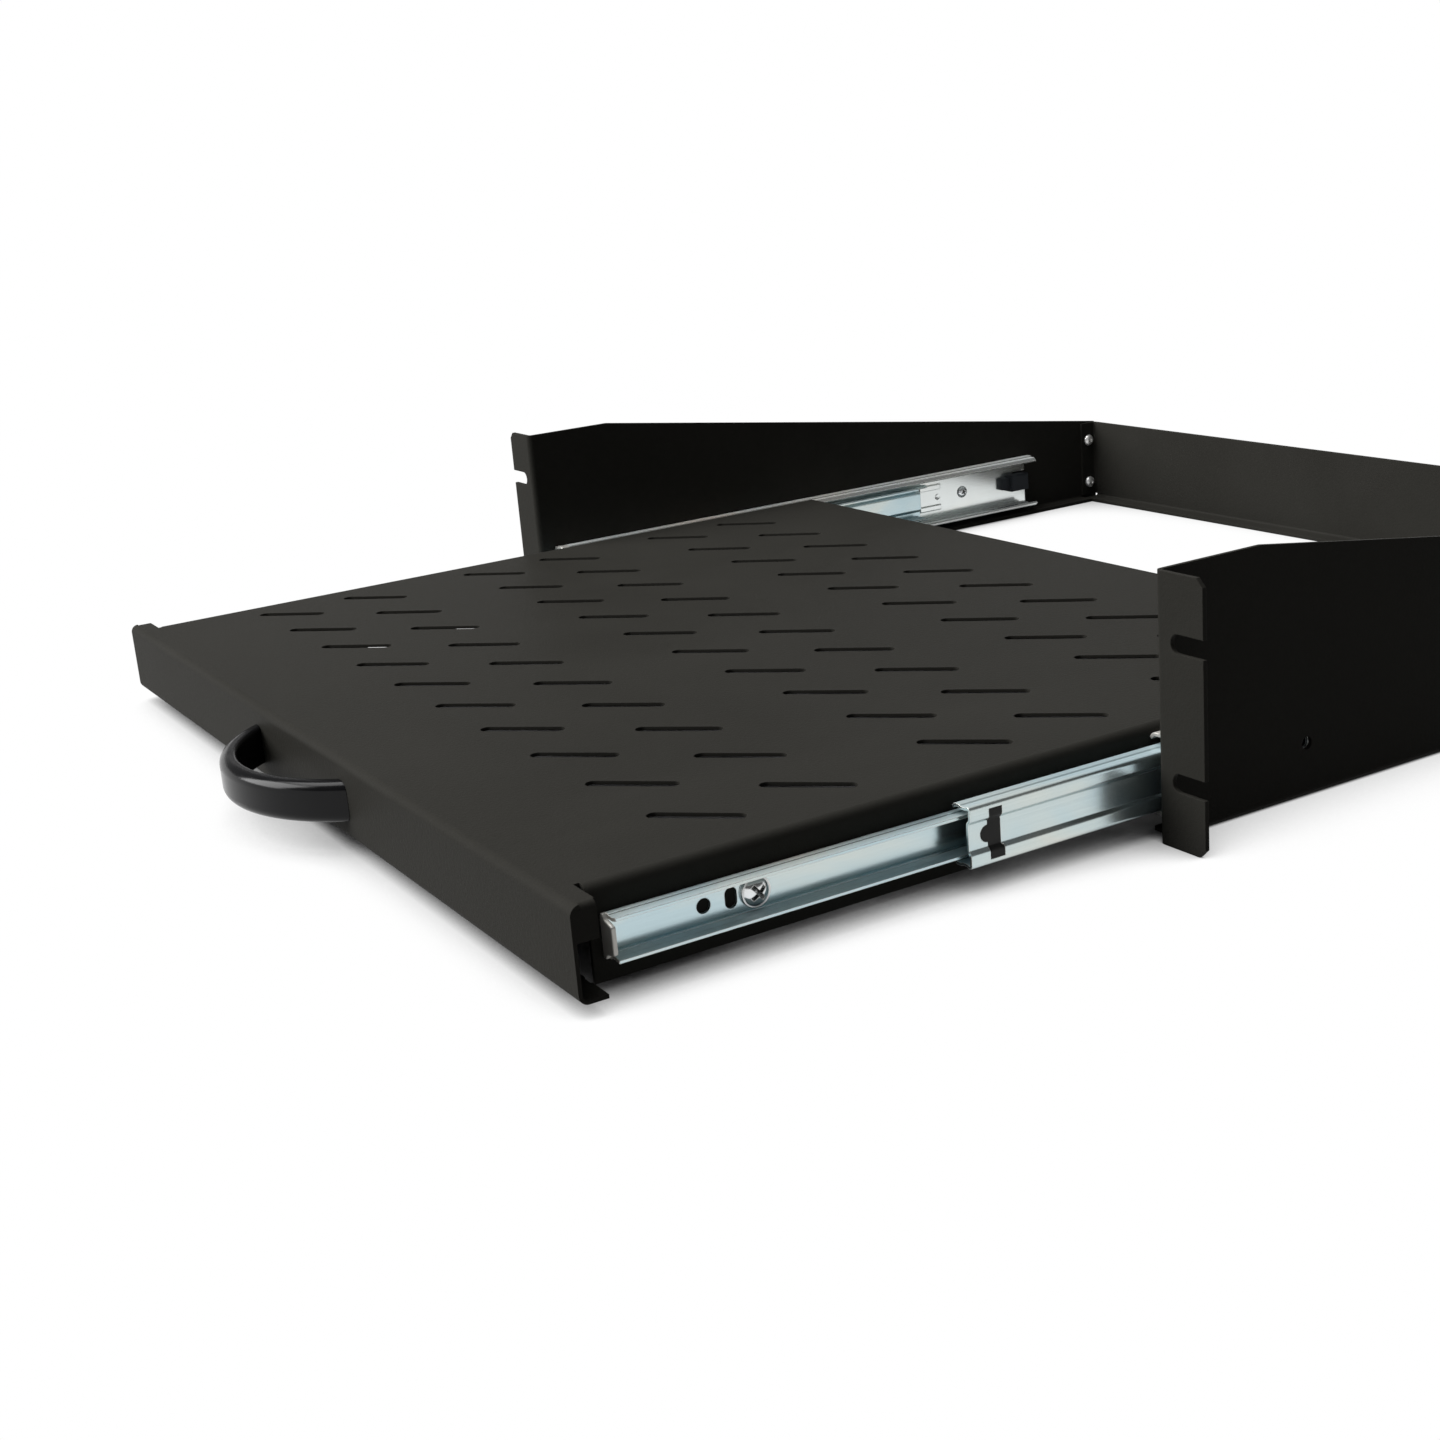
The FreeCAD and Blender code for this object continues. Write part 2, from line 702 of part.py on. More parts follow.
def inner_rail_stop(front, depth):
    """Formed front end of the inner rail: web and flanges turned across the channel."""
    shoulder_u = slide_space - depth - inner_stop_shoulder
    upper = [
        (slide_space, inner_flange_v), (shoulder_u, inner_flange_v),
        (shoulder_u - inner_sheet, inner_race - inner_sheet), (inner_lip_u, inner_stop_half)]
    corners = upper + [(u, -v) for u, v in upper[::-1]]
    back = (slide_space, 0)
    radii = [depth - inner_stop_shoulder / 2] + 3 * [inner_stop_corner]
    edges = rounded_run([slide_point(u, v, front) for u, v in [back] + corners + [back]], radii + radii[::-1])
    stop = Part.Face(Part.Wire(edges)).extrude(Y_AXIS * depth)
    rim = [e for e in stop.Edges if all(abs(vertex.Y - front) < 0.001 for vertex in e.Vertexes)]
    return stop.makeFillet(inner_stop_round, rim)


# Screws of the inner rail: pan heads in the channel, nuts under the tray
def inner_rail_screws():
    group = []
    web_in = slide_space - inner_sheet
    for station in inner_screw_stations:
        y = tray_front + inner_setback + station
        seat = slide_point(web_in, 0, y)
        head = rod(pan_head_radius, seat, X_AXIS, pan_head_height)
        head = head.makeFillet(
            pan_head_height * 0.55,
            [e for e in head.Edges if abs(e.CenterOfMass.x - seat.x - pan_head_height) < 0.01])
        shank_length = inner_sheet + tray_sheet + nut_height + nut_tip
        group.append(joined([head, rod(screw_radius, seat, -X_AXIS, shank_length)]))
    return Part.makeCompound(group)


def inner_rail_nuts():
    group = []
    corner = nut_across_flats / math.sqrt(3)
    for station in inner_screw_stations:
        centre = V(tray_half - tray_sheet, tray_front + inner_setback + station, slide_z)
        corners = [
            centre + V(0, corner * math.cos(i * math.pi / 3), corner * math.sin(i * math.pi / 3))
            for i in range(6)]
        nut = prism(corners, -X_AXIS * nut_height)
        group.append(nut.cut(rod(screw_radius + 0.1, centre, -X_AXIS, nut_height)))
    return Part.makeCompound(group)


# Pull handle: moulded bow that stands on the front panel
def pull_handle():
    level = base + handle_centre_height - handle_height / 2
    radius = (handle_half_span ** 2 + handle_reach ** 2) / (2 * handle_reach)
    centre = V(0, tray_front - handle_reach + radius, level)
    ring = rod(radius, centre, Z_AXIS, handle_height)
    hollow = rod(radius - handle_thickness, centre, Z_AXIS, handle_height)
    outer_edges = [e for e in ring.Edges if e.Curve.TypeId == "Part::GeomCircle"]
    ring = ring.makeFillet(handle_outer_round, outer_edges).cut(hollow)
    inner_edges = [
        e for e in ring.Edges if e.Curve.TypeId == "Part::GeomCircle"
        and abs(e.Curve.Radius - radius + handle_thickness) < 0.001]
    ring = ring.makeFillet(handle_inner_round, inner_edges)
    front_half = block(
        (-handle_half_span - 1, tray_front - handle_reach - 1, level - 1),
        (handle_half_span + 1, tray_front, level + handle_height + 1))
    bow = ring.common(front_half)
    sockets = [
        rod(handle_screw_radius, V(x * handle_screw_x, tray_front, base + handle_centre_height),
            -Y_AXIS, handle_screw_depth)
        for x in (-1, 1)]
    return bow.cut(sockets)


def handle_screws():
    group = []
    for x in (-1, 1):
        seat = V(x * handle_screw_x, tray_front + tray_sheet, base + handle_centre_height)
        head = dome(handle_screw_head_radius, handle_screw_head_height, seat, Y_AXIS)
        shank = rod(handle_screw_radius, seat, -Y_AXIS, tray_sheet + handle_screw_depth)
        group.append(joined([head, shank]))
    return Part.makeCompound(group)


os.makedirs("parts", exist_ok=True)

save_pair("side_bracket", side_bracket())
save("rear_panel", rear_panel())
save("rear_rivets", rivets())
save("shelf_tray", shelf_tray())
save("pull_handle", pull_handle())
save("handle_screws", handle_screws())

save_pair("outer_rail", outer_rail())
save_pair("outer_rail_screws", outer_rail_screws())
save_pair("rear_bumper", rear_bumper())

middle_closed = outer_setback + middle_lag
overlap_centre = middle_closed + middle_length / 2
for side, draw in (("right", right_middle_draw), ("left", left_middle_draw)):
    front = middle_closed - draw
    outer_centre = overlap_centre - draw / 2
    inner_centre = overlap_centre - (draw + tray_draw) / 2
    outer_stations = ball_stations(outer_centre, outer_balls_per_row, outer_ball_pitch)
    inner_stations = ball_stations(inner_centre, inner_balls_per_row, inner_ball_pitch)
    pieces = {
        "middle_rail": middle_rail(front),
        "rail_clip": rail_clip(front),
        "outer_cage": outer_cage(outer_centre),
        "outer_balls": balls(outer_ball_radius, outer_ball_u, outer_ball_v, outer_stations),
        "inner_cage": inner_cage(inner_centre),
        "inner_balls": balls(inner_ball_radius, inner_ball_u, inner_ball_v, inner_stations)}
    for name, shape in pieces.items():
        save(side + "_" + name, shape if side == "right" else mirrored(shape))

save_pair("inner_rail", inner_rail())
save_pair("inner_rail_screws", inner_rail_screws())
save_pair("inner_rail_nuts", inner_rail_nuts())
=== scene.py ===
import math

import bmesh
import bpy
from mathutils import Matrix, Vector


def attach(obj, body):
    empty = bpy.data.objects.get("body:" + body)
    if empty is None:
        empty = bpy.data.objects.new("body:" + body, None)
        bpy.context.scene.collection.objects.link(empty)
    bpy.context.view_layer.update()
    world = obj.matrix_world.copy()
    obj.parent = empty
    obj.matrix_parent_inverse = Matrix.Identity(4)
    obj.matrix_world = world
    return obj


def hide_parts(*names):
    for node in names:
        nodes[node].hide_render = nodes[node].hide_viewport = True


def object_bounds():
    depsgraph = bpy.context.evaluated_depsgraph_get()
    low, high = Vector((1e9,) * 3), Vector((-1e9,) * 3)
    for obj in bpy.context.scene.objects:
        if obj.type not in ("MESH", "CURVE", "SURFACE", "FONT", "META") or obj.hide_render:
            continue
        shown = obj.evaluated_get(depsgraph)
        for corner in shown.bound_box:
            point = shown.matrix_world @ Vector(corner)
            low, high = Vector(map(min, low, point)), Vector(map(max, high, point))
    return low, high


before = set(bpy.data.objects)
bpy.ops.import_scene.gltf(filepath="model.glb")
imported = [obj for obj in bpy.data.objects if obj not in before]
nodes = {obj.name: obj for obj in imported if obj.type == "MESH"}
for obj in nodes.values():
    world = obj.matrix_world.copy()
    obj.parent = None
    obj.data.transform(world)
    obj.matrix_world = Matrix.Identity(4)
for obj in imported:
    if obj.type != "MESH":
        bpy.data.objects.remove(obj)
cad_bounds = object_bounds()


# Brackets, rear panel and shelf tray: sheet steel, cut, punched and folded,
# then sprayed with black powder and baked, which leaves a fine pebbled skin
# that is soft on every cut edge.
def feed(tree, node, **values):
    """Feeds inputs of a node. A keyword is an input's name, with _ for a space, or i and its number."""
    for name, value in values.items():
        by_number = name[0] == "i" and name[1:].isdigit()
        socket = node.inputs[int(name[1:]) if by_number else name.replace("_", " ")]
        if isinstance(value, bpy.types.NodeSocket):
            tree.links.new(value, socket)
        else:
            socket.default_value = value


def add(tree, kind, **values):
    """New shader node. A keyword is one of its settings, or an input as feed takes it."""
    node = tree.nodes.new("ShaderNode" + kind)
    inputs = {}
    for name, value in values.items():
        if hasattr(node, name):
            setattr(node, name, value)
        else:
            inputs[name] = value
    feed(tree, node, **inputs)
    return node


def ranged(tree, value, low, high, to_low=0.0, to_high=1.0):
    """Number that goes from to_low to to_high while a value goes from low to high."""
    return add(tree, "MapRange", i0=value, i1=low, i2=high, i3=to_low, i4=to_high).outputs["Result"]


def mixed(tree, share, first, second):
    """Colour that goes from the first to the second as a share goes from 0 to 1."""
    return add(tree, "MixRGB", i0=share, i1=first, i2=second).outputs[0]


def new_group(name, inputs, outputs):
    """Empty node group with number inputs, given as name and default, and outputs, given as name and type."""
    tree = bpy.data.node_groups.new(name, "ShaderNodeTree")
    for label, default in inputs.items():
        socket = tree.interface.new_socket(label, in_out="INPUT", socket_type="NodeSocketFloat")
        socket.default_value = default
    for label, kind in outputs.items():
        tree.interface.new_socket(label, in_out="OUTPUT", socket_type="NodeSocket" + kind)
    return tree, tree.nodes.new("NodeGroupInput").outputs, tree.nodes.new("NodeGroupOutput")


def placed(tree, name, **values):
    """A node group used in a material, with its own values. Its outputs are returned."""
    node = tree.nodes.new("ShaderNodeGroup")
    node.node_tree = bpy.data.node_groups[name]
    feed(tree, node, **values)
    return node.outputs


def new_material(name):
    """Material with one Principled shader, which is returned with its node tree."""
    material = bpy.data.materials.new(name)
    material.use_nodes = True
    return material, material.node_tree, material.node_tree.nodes["Principled BSDF"]


def finish_with(material, *names):
    """Gives CAD nodes their finish."""
    for name in names:
        mesh = nodes[name].data
        mesh.materials.clear()
        mesh.materials.append(material)


def handling_marks():
    """Faint smears and dust that any handled surface has: a cloudy mask and sparse specks."""
    bare_share = 0.93
    tree, given, out = new_group(
        "handling_marks", {"Cloud Scale": 18.0, "Speck Scale": 700.0},
        {"Cloud": "Float", "Specks": "Float"})
    place = add(tree, "TexCoord").outputs["Object"]
    cloud = add(
        tree, "TexNoise", Vector=place, Scale=given["Cloud Scale"], Detail=5.0, Roughness=0.62,
        Distortion=0.6)
    spread = ranged(tree, cloud.outputs["Fac"], 0.3, 0.7)
    dots = add(tree, "TexVoronoi", Vector=place, Scale=given["Speck Scale"]).outputs
    near = ranged(tree, dots["Distance"], 0.10, 0.04)
    chosen = add(tree, "Math", operation="GREATER_THAN", i0=dots["Color"], i1=bare_share).outputs[0]
    specks = add(tree, "Math", operation="MULTIPLY", i0=near, i1=chosen).outputs[0]
    feed(tree, out, Cloud=spread, Specks=specks)


def soft_edges():
    """Normal that rounds off sharp edges, and a mask that is bright along them."""
    tree, given, out = new_group(
        "soft_edges", {"Radius": 0.0003}, {"Normal": "Vector", "Edge": "Float"})
    rounded = add(tree, "Bevel", samples=4, Radius=given["Radius"]).outputs["Normal"]
    flat = add(tree, "NewGeometry").outputs["Normal"]
    match = add(tree, "VectorMath", operation="DOT_PRODUCT", i0=rounded, i1=flat).outputs["Value"]
    feed(tree, out, Normal=rounded, Edge=ranged(tree, match, 0.99, 0.75))


def powder_coat():
    """Baked black powder: warm near-black, pebbled at about a millimetre, satin."""
    dark = (0.0225, 0.0217, 0.0190, 1)
    light = (0.0280, 0.0271, 0.0240, 1)
    edge_highlight_and_wear = (0.031, 0.030, 0.026, 1)
    dust = (0.05, 0.05, 0.046, 1)
    pebbles_per_metre = 900.0
    grains_per_metre = 2600.0
    grain_share = 0.35
    pebble_height = 0.00016
    material, tree, shader = new_material("black_powder_coat")
    place = add(tree, "TexCoord").outputs["Object"]
    marks = placed(tree, "handling_marks", Cloud_Scale=9.0, Speck_Scale=420.0)
    edges = placed(tree, "soft_edges", Radius=0.0004)
    pebble = add(tree, "TexNoise", Vector=place, Scale=pebbles_per_metre, Detail=2.0, Roughness=0.5)
    grain = add(tree, "TexNoise", Vector=place, Scale=grains_per_metre, Detail=1.0, Roughness=0.5)
    height = add(tree, "Mix", i0=grain_share, i2=pebble.outputs["Fac"], i3=grain.outputs["Fac"])
    bump = add(
        tree, "Bump", Strength=0.8, Distance=pebble_height, Height=height.outputs[0], Normal=edges["Normal"])
    tone = mixed(tree, marks["Cloud"], dark, light)
    # Painted highlight and wear: the paint is lightened along cut edges and folds.
    worn = mixed(tree, edges["Edge"], tone, edge_highlight_and_wear)
    feed(
        tree, shader, Base_Color=mixed(tree, marks["Specks"], worn, dust),
        Roughness=ranged(tree, marks["Cloud"], 0.0, 1.0, 0.46, 0.54), Normal=bump.outputs["Normal"],
        Specular_IOR_Level=0.015)
    return material


handling_marks()
soft_edges()
finish_with(powder_coat(), "left_side_bracket", "right_side_bracket", "rear_panel", "shelf_tray")


# Slide rails and ball cages: cold-rolled steel strip, roll-formed lengthwise and
# zinc plated with a blue-white passivation, so drawing lines run along each rail
# and the film shifts from blue to straw.
def more_of(tree, first, second):
    """The larger of two numbers."""
    return add(tree, "Math", operation="MAXIMUM", i0=first, i1=second).outputs[0]


def zinc_plate(
        name, blue, straw, rose, roughness, metal_share=1.0, flange_scuff=0.0, dull_ahead_of=-9.0, shade_and_grime=0.0):
    """Zinc plate, or a plain metal of like gloss.

    Flanges may be scuffed, the end ahead of a Y may be dull from the press, and hollows may hold grime and
    painted shade.
    """
    pressed_grey = (0.50, 0.49, 0.46, 1)
    edge_highlight_and_wear = (0.93, 0.91, 0.85, 1)
    shade_and_grime_tone = (0.02, 0.022, 0.024, 1)
    lines_per_metre = 2400.0
    line_stretch = (1.0, 0.004, 1.0)
    line_height = 0.00003
    film_patches_per_metre = 40.0
    film_stretch = (1.0, 0.3, 1.0)
    blush_share = 0.5
    pressed_fade = 0.0003
    dull_roughness = 0.45
    dull_metal_loss = 0.40
    shade_and_grime_reach = 0.004
    material, tree, shader = new_material(name)
    place = add(tree, "TexCoord").outputs["Object"]
    marks = placed(tree, "handling_marks", Cloud_Scale=24.0, Speck_Scale=260.0)
    edges = placed(tree, "soft_edges", Radius=0.0004)
    along = add(tree, "Mapping", Vector=place, Scale=line_stretch).outputs["Vector"]
    lines = add(
        tree, "TexNoise", Vector=along, Scale=lines_per_metre, Detail=2.0, Roughness=0.5).outputs["Fac"]
    drift = add(tree, "Mapping", Vector=place, Scale=film_stretch).outputs["Vector"]
    film = add(
        tree, "TexNoise", Vector=drift, Scale=film_patches_per_metre, Detail=3.0, Roughness=0.5,
        Distortion=0.5).outputs["Fac"]
    cream = mixed(tree, ranged(tree, film, 0.48, 0.74), blue, straw)
    colour = mixed(tree, ranged(tree, film, 0.66, 0.74, 0.0, blush_share), cream, rose)
    shade = ranged(tree, lines, 0.3, 0.7, 0.965, 1.02)
    drawn = add(tree, "VectorMath", operation="SCALE", i0=colour, Scale=shade).outputs["Vector"]
    smooth = ranged(tree, marks["Cloud"], 0.0, 1.0, roughness * 0.85, roughness * 1.25)
    ahead = add(tree, "SeparateXYZ", i0=place).outputs["Y"]
    pressed = ranged(tree, ahead, dull_ahead_of + pressed_fade, dull_ahead_of)
    facing = add(tree, "SeparateXYZ", i0=add(tree, "NewGeometry").outputs["Normal"]).outputs["Z"]
    level = add(tree, "Math", operation="ABSOLUTE", i0=facing).outputs[0]
    scuffed = ranged(tree, level, 0.80, 0.97, 0.0, flange_scuff)
    grey = mixed(tree, pressed, drawn, pressed_grey)
    # Painted highlight and wear: edges and rims of holes turn pale cream.
    finish = mixed(tree, edges["Edge"], grey, edge_highlight_and_wear)
    dull = more_of(tree, more_of(tree, edges["Edge"], pressed), scuffed)
    rough = add(tree, "Mix", i0=dull, i2=smooth, i3=dull_roughness).outputs[0]
    metal = ranged(tree, dull, 0.0, 1.0, metal_share, metal_share - dull_metal_loss)
    bump = add(tree, "Bump", Strength=0.03, Distance=line_height, Height=lines, Normal=edges["Normal"])
    # Painted shade and grime: an occlusion test darkens hollows, cross recesses and screw ends sunk in holes.
    if shade_and_grime:
        hollow = add(tree, "AmbientOcclusion", samples=8, Distance=shade_and_grime_reach).outputs["AO"]
        finish = mixed(tree, ranged(tree, hollow, 0.55, 0.95, shade_and_grime, 0.0), finish, shade_and_grime_tone)
    feed(tree, shader, Base_Color=finish, Metallic=metal, Roughness=rough, Normal=bump.outputs["Normal"])
    return material


rail_zinc = zinc_plate(
    "zinc_plate", blue=(0.53, 0.665, 0.705, 1), straw=(0.71, 0.725, 0.66, 1), rose=(0.72, 0.63, 0.60, 1),
    roughness=0.19, metal_share=0.88, flange_scuff=1.0, dull_ahead_of=-0.1901)
finish_with(rail_zinc, "left_middle_rail", "left_inner_rail", "right_middle_rail", "right_inner_rail")
# Painted light: a paler copy of the same zinc plate, so the outer rails show a brighter reflection.
outer_lit_zinc = zinc_plate(
    "outer_rail_lit_zinc", blue=(0.80, 0.84, 0.83, 1), straw=(0.90, 0.87, 0.79, 1), rose=(0.88, 0.78, 0.72, 1),
    roughness=0.16, metal_share=0.88, flange_scuff=1.0, dull_ahead_of=0.0105)
finish_with(outer_lit_zinc, "left_outer_rail", "right_outer_rail")
cage_zinc = zinc_plate(
    "cage_zinc", blue=(0.58, 0.62, 0.64, 1), straw=(0.68, 0.66, 0.60, 1), rose=(0.66, 0.62, 0.58, 1),
    roughness=0.34, metal_share=0.9)
finish_with(cage_zinc, "left_outer_cage", "right_outer_cage", "left_inner_cage", "right_inner_cage")


# Bearing balls: hard steel, ground round and polished, thinly greased, and held
# apart by the pockets of the ball cages.
def ball_steel():
    """Polished steel with a faint smear of grease."""
    material, tree, shader = new_material("ball_steel")
    marks = placed(tree, "handling_marks", Cloud_Scale=300.0, Speck_Scale=2500.0)
    feed(
        tree, shader, Base_Color=(0.62, 0.63, 0.64, 1), Metallic=1.0,
        Roughness=ranged(tree, marks["Cloud"], 0.0, 1.0, 0.06, 0.16))
    return material


finish_with(ball_steel(), "left_outer_balls", "right_outer_balls", "left_inner_balls", "right_inner_balls")


# Screws of the inner rails: M4 pan heads on a thin collar, with a cross recess, bright
# zinc plated, put through the rail and the tray's side and drawn up by hexagon nuts inside.
# Shapes are drawn in millimetres and set out in metres.
sides = (("left", -1), ("right", 1))
weld_gap = 0.0005


def everything(shape):
    """All points, edges and faces of a shape."""
    return shape.verts[:] + shape.edges[:] + shape.faces[:]


def turned(outline, closed=False):
    """Solid of revolution about Z from points given as radius and height."""
    turn_steps = 48
    shape = bmesh.new()
    points = [shape.verts.new((radius, 0, height)) for radius, height in outline]
    pairs = list(zip(points, points[1:]))
    if closed:
        pairs.append((points[-1], points[0]))
    edges = [shape.edges.new(pair) for pair in pairs]
    bmesh.ops.spin(
        shape, geom=points + edges, cent=(0, 0, 0), axis=(0, 0, 1), angle=math.tau, steps=turn_steps,
        use_merge=True)
    bmesh.ops.remove_doubles(shape, verts=shape.verts, dist=weld_gap)
    bmesh.ops.recalc_face_normals(shape, faces=shape.faces)
    return shape


def press_cross(shape, level, reach, width, depth, turn):
    """Presses a cross recess into the crown of a turned head, above a level and turned about its axis."""
    floor_share = 0.34
    spin_back = Matrix.Rotation(-math.radians(turn), 4, "Z")
    bmesh.ops.transform(shape, matrix=spin_back, verts=shape.verts)
    for axis in (Vector((1, 0, 0)), Vector((0, 1, 0))):
        for offset in (-reach, -width / 2, width / 2, reach):
            crown = [f for f in shape.faces if f.calc_center_median().z > level]
            crown_geom = list({part for f in crown for part in (*f.verts, *f.edges, f)})
            bmesh.ops.bisect_plane(
                shape, geom=crown_geom, plane_co=axis * offset, plane_no=axis, dist=weld_gap)
    cross = []
    for face in shape.faces:
        middle = face.calc_center_median()
        arms = sorted((abs(middle.x), abs(middle.y)))
        if middle.z > level and arms[0] < width / 2 and arms[1] < reach:
            cross.append(face)
    pressed = bmesh.ops.extrude_face_region(shape, geom=cross)
    bmesh.ops.delete(shape, geom=[f for f in cross if f.is_valid], context="FACES")
    floor_points = [v for v in pressed["geom"] if isinstance(v, bmesh.types.BMVert)]
    bmesh.ops.translate(shape, verts=floor_points, vec=(0, 0, -depth))
    bmesh.ops.scale(shape, verts=floor_points, vec=(floor_share, floor_share, 1))
    bmesh.ops.transform(shape, matrix=spin_back.inverted(), verts=shape.verts)


def take_in(shape, other):
    """Adds another shape to a shape."""
    data = bpy.data.meshes.new("taken_in")
    other.to_mesh(data)
    other.free()
    shape.from_mesh(data)
    bpy.data.meshes.remove(data)


def add_thread(shape, radius, length):
    """Adds a threaded shank below Z = 0, as a helix cut square at both ends."""
    pitch = 0.7
    turn_steps = 24
    root = radius - 0.55 * pitch
    turns = math.ceil(length / pitch) + 2
    start = -length - pitch * 1.5
    thread = bmesh.new()
    ridge = ((root, 0.0), (radius, 0.44), (radius, 0.56), (root, 1.0))
    points = [thread.verts.new((r, 0, start + rise * pitch)) for r, rise in ridge]
    edges = [thread.edges.new(pair) for pair in zip(points, points[1:])]
    bmesh.ops.spin(
        thread, geom=points + edges, cent=(0, 0, 0), axis=(0, 0, 1), dvec=(0, 0, pitch / turn_steps),
        angle=math.tau * turns, steps=turn_steps * turns)
    bmesh.ops.remove_doubles(thread, verts=thread.verts, dist=weld_gap * 2)
    for height, side in ((-length, -1), (0.0, 1)):
        cut = bmesh.ops.bisect_plane(
            thread, geom=everything(thread), plane_co=(0, 0, height), plane_no=(0, 0, side), clear_outer=True)
        rim = [e for e in cut["geom_cut"] if isinstance(e, bmesh.types.BMEdge)]
        bmesh.ops.edgeloop_fill(thread, edges=rim)
    bmesh.ops.remove_doubles(thread, verts=thread.verts, dist=weld_gap * 8)
    bmesh.ops.recalc_face_normals(thread, faces=thread.faces)
    take_in(shape, thread)


def set_out(shape, places, direction):
    """Copies a shape that stands on +Z to places, so that it stands along a direction."""
    master = everything(shape)
    master_points = shape.verts[:]
    stand = Vector((0, 0, 1)).rotation_difference(Vector(direction)).to_matrix().to_4x4()
    for place in places:
        copy = bmesh.ops.duplicate(shape, geom=master)["geom"]
        copy_points = [v for v in copy if isinstance(v, bmesh.types.BMVert)]
        move = Matrix.Translation(place) @ stand @ Matrix.Scale(0.001, 4)
        bmesh.ops.transform(shape, matrix=move, verts=copy_points)
    bmesh.ops.delete(shape, geom=master_points, context="VERTS")


def new_piece(name, shape, material, body, slot, *replaced):
    """Makes a piece of a shape with a material. It rides on a body and stands for CAD nodes. The slot is not
    used.
    """
    crease = math.radians(32)
    data = bpy.data.meshes.new(name)
    shape.to_mesh(data)
    shape.free()
    data.materials.append(material)
    data.shade_smooth()
    data.set_sharp_from_angle(angle=crease)
    piece = bpy.data.objects.new(name, data)
    bpy.context.scene.collection.objects.link(piece)
    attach(piece, body)
    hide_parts(*replaced)


fastener_tones = {
    "blue": (0.72, 0.75, 0.77, 1), "straw": (0.80, 0.79, 0.75, 1), "rose": (0.78, 0.76, 0.74, 1)}
# Painted shade and grime darken the cross recesses and the seat under each head.
fastener_zinc = zinc_plate("bright_zinc", **fastener_tones, roughness=0.10, shade_and_grime=0.55)
m4_radius = 2.0
pan_outline = (
    (0, 2.80), (0.9, 2.73), (1.8, 2.50), (2.6, 2.16), (3.3, 1.74), (3.85, 1.34), (4.15, 1.06), (4.30, 0.94),
    (4.46, 0.98), (4.62, 1.08), (4.76, 1.06), (4.82, 0.96), (4.74, 0.84), (4.74, 0.62), (4.86, 0.52),
    (4.90, 0.40), (4.90, 0.10), (4.80, 0), (0, 0))
pan_length = 6.0
pan_seat = 0.2088
rail_screw_level = -0.02545
inner_screw_rows = (-0.1426, 0.0485)
for side, sign in sides:
    screw = turned(pan_outline)
    press_cross(screw, level=1.2, reach=2.75, width=1.3, depth=1.9, turn=38)
    add_thread(screw, m4_radius, pan_length)
    set_out(screw, [(sign * pan_seat, y, rail_screw_level) for y in inner_screw_rows], (sign, 0, 0))
    new_piece(
        side + "_pan_screws", screw, fastener_zinc, "tray", "bright_fasteners", side + "_inner_rail_screws")


# Nuts of those screws: steel, cut from hexagon bar, chamfered at both ends so that each
# flat ends in a shallow arc, zinc plated, and screwed on inside the tray's sides.
nut_outline = (
    (2.10, 0.30), (2.45, 0), (3.35, 0), (4.04, 0.40), (4.04, 2.80), (3.35, 3.2), (2.45, 3.2), (2.10, 2.90))
nut_half_flats = 3.5
nut_flats = 6
nut_seat = 0.2034
for side, sign in sides:
    nut = turned(nut_outline, closed=True)
    for flat in range(nut_flats):
        angle = flat * math.tau / nut_flats
        out = Vector((math.cos(angle), math.sin(angle), 0))
        cut = bmesh.ops.bisect_plane(
            nut, geom=everything(nut), plane_co=out * nut_half_flats, plane_no=out, clear_outer=True)
        bmesh.ops.edgeloop_fill(nut, edges=[e for e in cut["geom_cut"] if isinstance(e, bmesh.types.BMEdge)])
    bmesh.ops.recalc_face_normals(nut, faces=nut.faces)
    set_out(nut, [(sign * nut_seat, y, rail_screw_level) for y in inner_screw_rows], (sign, 0, 0))
    new_piece(side + "_hex_nuts", nut, fastener_zinc, "tray", "bright_fasteners", side + "_inner_rail_nuts")


# Screws of the outer rails: zinc-plated low domes with a small cross recess, darkened
# in the hollows by painted shade and grime, driven from inside the rail towards the
# bracket's wall, where the tip stops short of the outside and is darkened by painted shade.
dome_zinc = zinc_plate("hollow_shaded_zinc", **fastener_tones, roughness=0.14, shade_and_grime=0.95)
dome_outline = (
    (0, 1.90), (0.8, 1.85), (1.6, 1.66), (2.3, 1.30), (2.8, 0.86), (3.1, 0.42), (3.2, 0.12), (3.15, 0),
    (0, 0))
dome_length = 0.5
dome_seat = 0.2194
outer_screw_rows = (0.0615, 0.2565)
for side, sign in sides:
    screw = turned(dome_outline)
    press_cross(screw, level=0.5, reach=1.55, width=0.8, depth=0.8, turn=20)
    add_thread(screw, m4_radius, dome_length)
    set_out(screw, [(sign * dome_seat, y, rail_screw_level) for y in outer_screw_rows], (-sign, 0, 0))
    new_piece(
        side + "_dome_screws", screw, dome_zinc, "frame", "bright_fasteners", side + "_outer_rail_screws")


